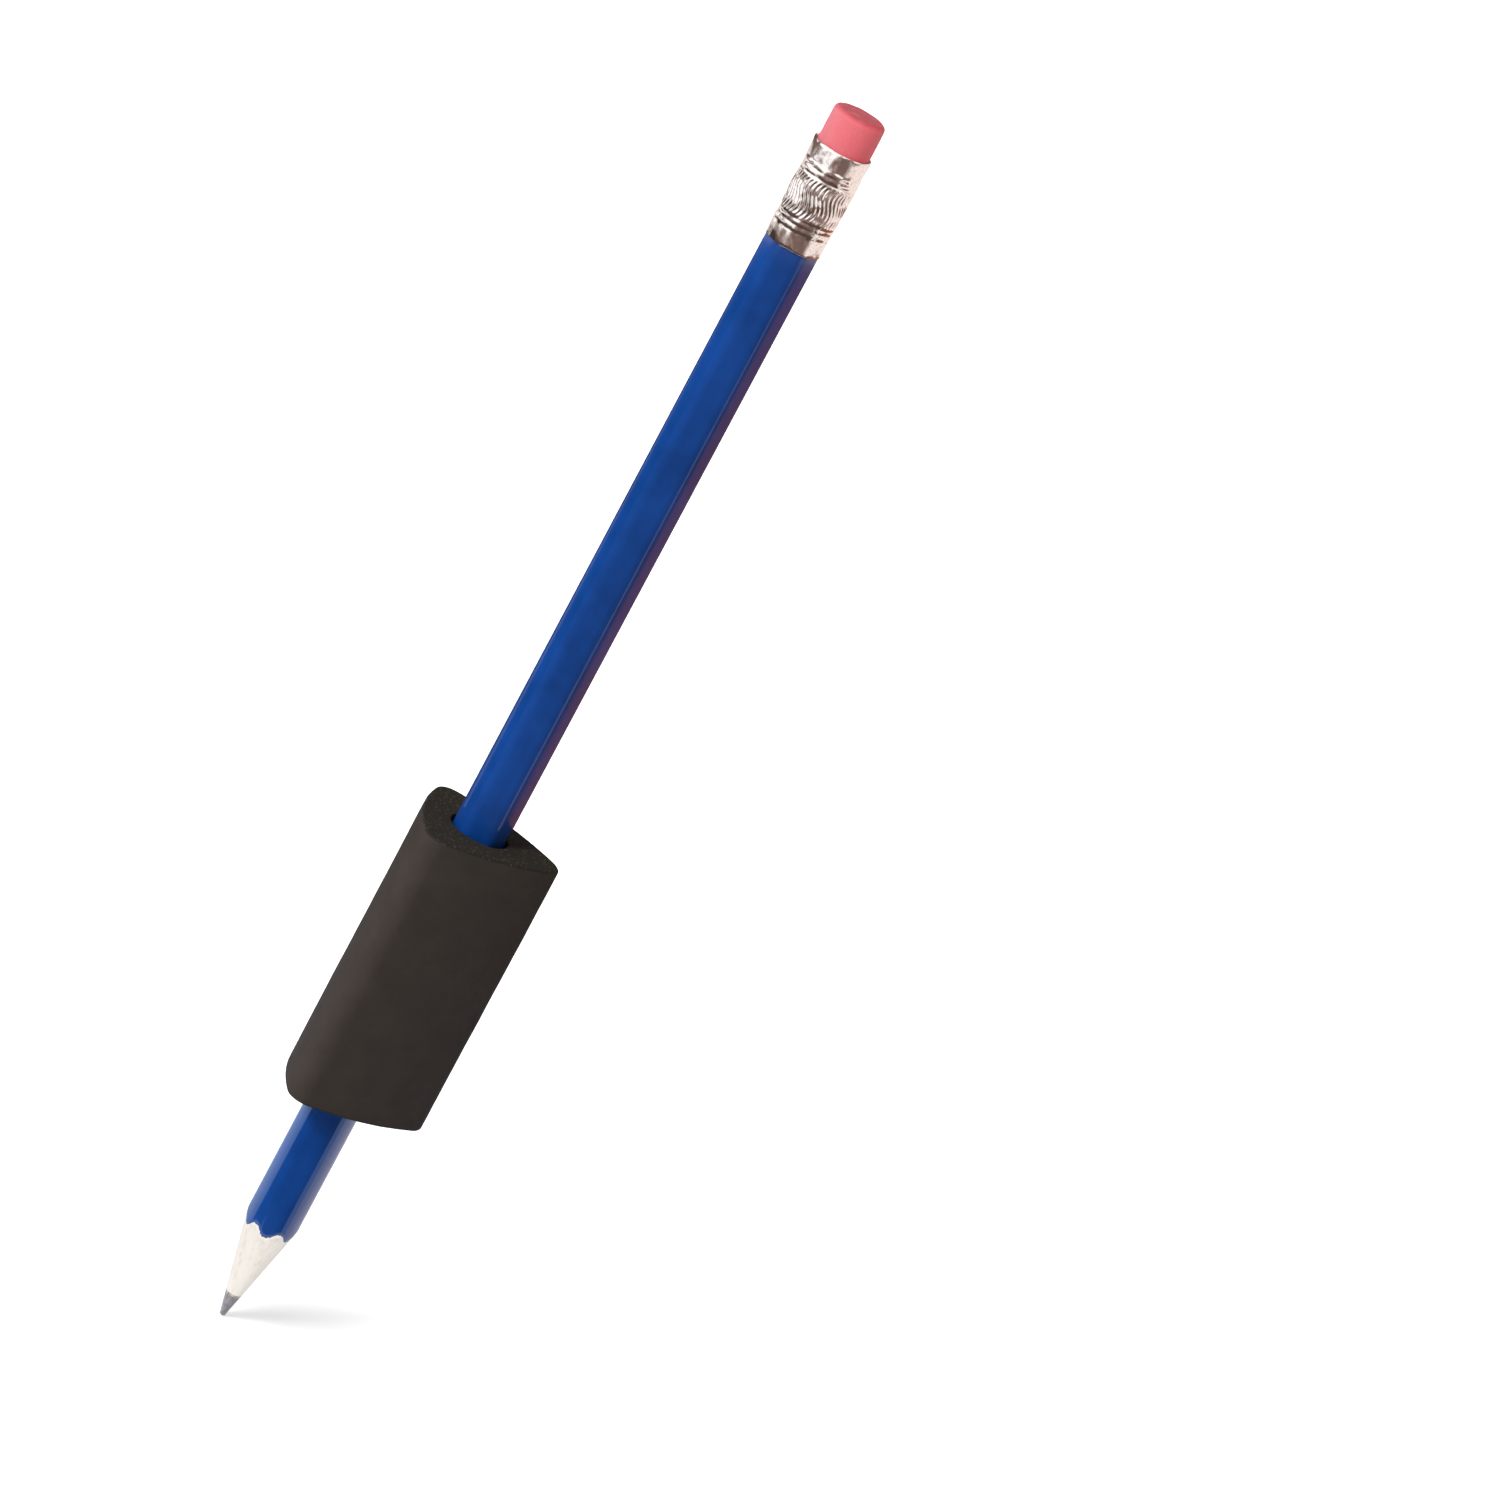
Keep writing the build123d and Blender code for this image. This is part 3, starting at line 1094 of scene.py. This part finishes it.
@dataclass
class Studio:
    """White floor and surround, a key, a side light, fills for wood and eraser, and rings for the gloss."""

    floor: float
    wood: list[Object]
    eraser: Object
    floor_size: float = 12.0
    floor_colour: str = "#f0f0f0"
    # Painted glow of the floor near the point; it rises to full white between the fade's start and end,
    # washing out the cast shadow
    near_point_floor_glow: float = 0.5
    fade_start: float = 10 * MM
    fade_end: float = 58 * MM
    room_light: float = 0.2
    key_direction: tuple[float, float] = (-134.0, 35.0)
    key_spread: float = 14.0
    key_level: float = 0.58
    side_direction: tuple[float, float] = (-185.0, 15.0)
    side_spread: float = 70.0
    side_level: float = 0.38
    fill_spread: float = 60.0
    wood_direction: tuple[float, float] = (-45.0, 15.0)
    wood_level: float = 0.55
    wood_light: str = "#ffffff"
    eraser_direction: tuple[float, float] = (-64.0, 20.0)
    eraser_level: float = 0.33
    eraser_light: str = "#ff7070"

    @staticmethod
    def shown(tree: NodeTree) -> NodeSocket:
        """Tell the rays that show the white surround from the rest.

        Args:
            tree: The nodes that ask.

        Returns:
            1 for the rays that show it, and 0 for the rest.
        """
        total = add_node(tree, "ShaderNodeLightPath", {}, Ray.CAMERA.value)
        for ray in (Ray.GLOSSY, Ray.TRANSMISSION):
            other = add_node(tree, "ShaderNodeLightPath", {}, ray.value)
            total = add_node(tree, "ShaderNodeMath", {0: total, 1: other}, operation="MAXIMUM")
        return total

    def build_floor(self) -> Object:
        """Lay a floor that is white to the eye and keeps the shadow near the point, with a painted glow that
        grows away from the point and washes the shadow out.

        Returns:
            The floor.
        """
        floor = start(
            "paper_floor", bpy.ops.mesh.primitive_plane_add,
            size=self.floor_size, location=(0, 0, self.floor),
        )
        material = empty_material("white_paper")
        tree = material.node_tree
        paper = add_node(tree, "ShaderNodeBsdfDiffuse", {"Color": linear(self.floor_colour)})
        place = add_node(tree, "ShaderNodeTexCoord", {}, "Object")
        away = {0: place, 1: (0, 0, self.floor)}
        away = add_node(tree, "ShaderNodeVectorMath", away, "Value", operation="DISTANCE")
        # Painted glow: camera, glossy and transmission rays see the floor glow more away from the point,
        # which washes out the shadow there
        fade = {"From Min": self.fade_start, "From Max": self.fade_end, "To Min": self.near_point_floor_glow}
        painted_floor_glow = add_node(tree, "ShaderNodeMapRange", {"Value": away, **fade})
        painted_floor_glow = add_node(tree, "ShaderNodeMath", {0: self.shown(tree), 1: painted_floor_glow}, operation="MULTIPLY")
        glow = add_node(tree, "ShaderNodeEmission", {"Strength": painted_floor_glow})
        both = add_node(tree, "ShaderNodeAddShader", {0: paper, 1: glow})
        add_node(tree, "ShaderNodeOutputMaterial", {"Surface": both})
        floor.data.materials.append(material)
        return floor

    def build_room(self) -> None:
        """Set the room's plain light, white where it shows."""
        world = bpy.data.worlds.new("studio_room")
        world.use_nodes = True
        tree = world.node_tree
        tree.nodes.clear()
        strength = {"Value": self.shown(tree), "To Min": self.room_light, "To Max": 1.0}
        strength = add_node(tree, "ShaderNodeMapRange", strength)
        room = add_node(tree, "ShaderNodeBackground", {"Color": (1, 1, 1, 1), "Strength": strength})
        add_node(tree, "ShaderNodeOutputWorld", {"Surface": room})
        bpy.context.scene.world = world

    @staticmethod
    def build_lamp(name: str, direction: tuple[float, float], spread: float, level: float) -> Object:
        """Add a broad light, far off, that faces the pencil.

        Args:
            name: The light's name.
            direction: Its angle round the pencil and its height above the level, in degrees.
            spread: Its width as seen from the pencil, in degrees.
            level: The brightness that it gives a white surface that faces it.

        Returns:
            The light.
        """
        place = on_circle(cos(radians(direction[1])), direction[0], sin(radians(direction[1])))
        facing = place.to_track_quat("Z", "Y").to_euler()
        bpy.ops.object.light_add(type="SUN", location=place, rotation=facing)
        lamp = bpy.context.active_object
        lamp.name = name
        lamp.data.angle = radians(spread)
        lamp.data.energy = level * pi
        return lamp

    def build_fill(
        self, name: str, direction: tuple[float, float], level: float, colour: str, pieces: list[Object]
    ) -> None:
        """Add a broad light that reaches some of the pieces only.

        Args:
            name: The light's name.
            direction: Its angle round the pencil and its height above the level, in degrees.
            level: The brightness that it gives a white surface that faces it.
            colour: Its colour.
            pieces: The pieces that it reaches.
        """
        fill = self.build_lamp(name, direction, self.fill_spread, level)
        fill.data.color = linear(colour)[:3]
        fill.light_linking.receiver_collection = bpy.data.collections.new(f"{name}_pieces")
        for piece in pieces:
            fill.light_linking.receiver_collection.objects.link(piece)

    def build_rings(self) -> None:
        """Stand the rings round the pencil, each where the stretch that it is named for mirrors it."""
        tip_top, tip_fade, tip_radius = 14 * MM, 39 * MM, 22 * MM
        barrel_top, skirt_top, flute_top = 96.5 * MM, 100.5 * MM, 106 * MM
        collar_top, window_top, sky_top = 112 * MM, 123 * MM, 200 * MM
        white, cream, pale = "#ffffff", "#f2e6e0", "#e6dad6"
        umber, taupe, brown, dark = "#7d6a62", "#6f5a54", "#54453f", "#1d1b1e"
        rust, russet = "#7d5446", "#a8644c"
        rings = (
            Ring("tip_ring", self.floor, tip_top, (
                (-270, "#d2e6ff"), (-191, "#d2e6ff"), (-184, "#3a2f2c"), (-40, "#3a2f2c"),
                (-34, "#d8e8ff"), (-8, "#c6dcff"), (12, "#f4f1ff"), (90, "#f4f1ff"),
            ), radius=tip_radius, fade=tip_fade),
            Ring("barrel_ring", self.floor, barrel_top, (
                (-270, brown), (-232, brown), (-224, dark), (-219, dark), (-216, "#c8c2bc"),
                (-214, "#c8c2bc"), (-211, dark), (-197, dark), (-180, brown), (-31, brown), (-28, white),
                (-25, white), (-21.5, rust), (8, rust), (20, russet), (50, russet), (62, brown), (90, brown),
            )),
            Ring("skirt_ring", barrel_top, skirt_top, (
                (-270, pale), (-208, "#d8ccc6"), (-192, umber), (-110, "#a39088"), (-50, umber),
                (-36, cream), (90, cream),
            ), strength=1.1),
            Ring("flute_ring", skirt_top, flute_top, (
                (-270, pale), (-232, pale), (-222, white), (-168, white), (-152, "#5e4a44"),
                (-136, "#5e4a44"), (-128, white), (-118, white), (-108, "#5e4a44"), (-52, taupe),
                (-38, cream), (90, cream),
            ), strength=1.1),
            Ring("collar_ring", flute_top, collar_top, (
                (-270, pale), (-220, pale), (-212, taupe), (-172, taupe), (-160, white), (-124, white),
                (-106, "#9a8680"), (-86, "#a8958f"), (-68, taupe), (-52, taupe), (-38, cream), (90, cream),
            ), strength=1.1),
            Ring("window_ring", collar_top, window_top, (
                (-270, "#5a4a46"), (-205, "#5a4a46"), (-190, white), (-118, white),
                (-104, taupe), (-20, taupe), (0, "#e0d4cc"), (90, "#e0d4cc"),
            ), strength=1.3),
            Ring("sky_ring", window_top, sky_top, (
                (-270, "#6b5852"), (-192, "#6b5852"), (-176, white), (-108, white), (-90, "#a8988f"),
                (-66, white), (-20, white), (0, "#c4b6b0"), (30, "#f0e6e0"), (90, "#f0e6e0"),
            ), strength=1.1),
        )
        for ring in rings:
            ring.build()

    def build(self) -> None:
        """Set up the floor, the room, the lights and the rings."""
        self.build_floor()
        self.build_room()
        self.build_lamp("key_light", self.key_direction, self.key_spread, self.key_level)
        self.build_lamp("side_light", self.side_direction, self.side_spread, self.side_level)
        self.build_fill("wood_fill", self.wood_direction, self.wood_level, self.wood_light, self.wood)
        self.build_fill(
            "eraser_fill", self.eraser_direction, self.eraser_level, self.eraser_light, [self.eraser]
        )
        self.build_rings()
        bpy.context.scene.view_settings.view_transform = "Standard"


def main() -> None:
    """Build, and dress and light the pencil."""
    logging.basicConfig(level=logging.INFO, format="%(message)s")
    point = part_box("lead_core")[0][2]
    grip_low, grip_high = (corner[2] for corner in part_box("grip_sleeve"))
    ferrule_low, ferrule_high = (corner[2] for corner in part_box("ferrule"))
    eraser_low, eraser_high = (corner[2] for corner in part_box("eraser"))
    coat_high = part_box("lacquer_coat")[1][2]

    barrel = LacqueredBarrel(point, coat_high)
    CasingAndLead(barrel).dress()
    LOG.info("dressed the casing and the lead")
    pieces = (
        barrel,
        GripSleeve(grip_low, grip_high),
        Ferrule(ferrule_low, ferrule_high),
        Eraser(eraser_low, eraser_high),
    )
    meshes = []
    for piece in pieces:
        mesh = piece.build()
        piece.dress(mesh)
        meshes.append(mesh)
        LOG.info("built %s with %d faces", mesh.name, len(mesh.data.polygons))
    wood = [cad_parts[node] for node in ("front_slat", "back_slat")]
    Studio(point, wood, eraser=meshes[-1]).build()
    Camera(point, eraser_high).build()


if __name__ == "__main__":
    main()
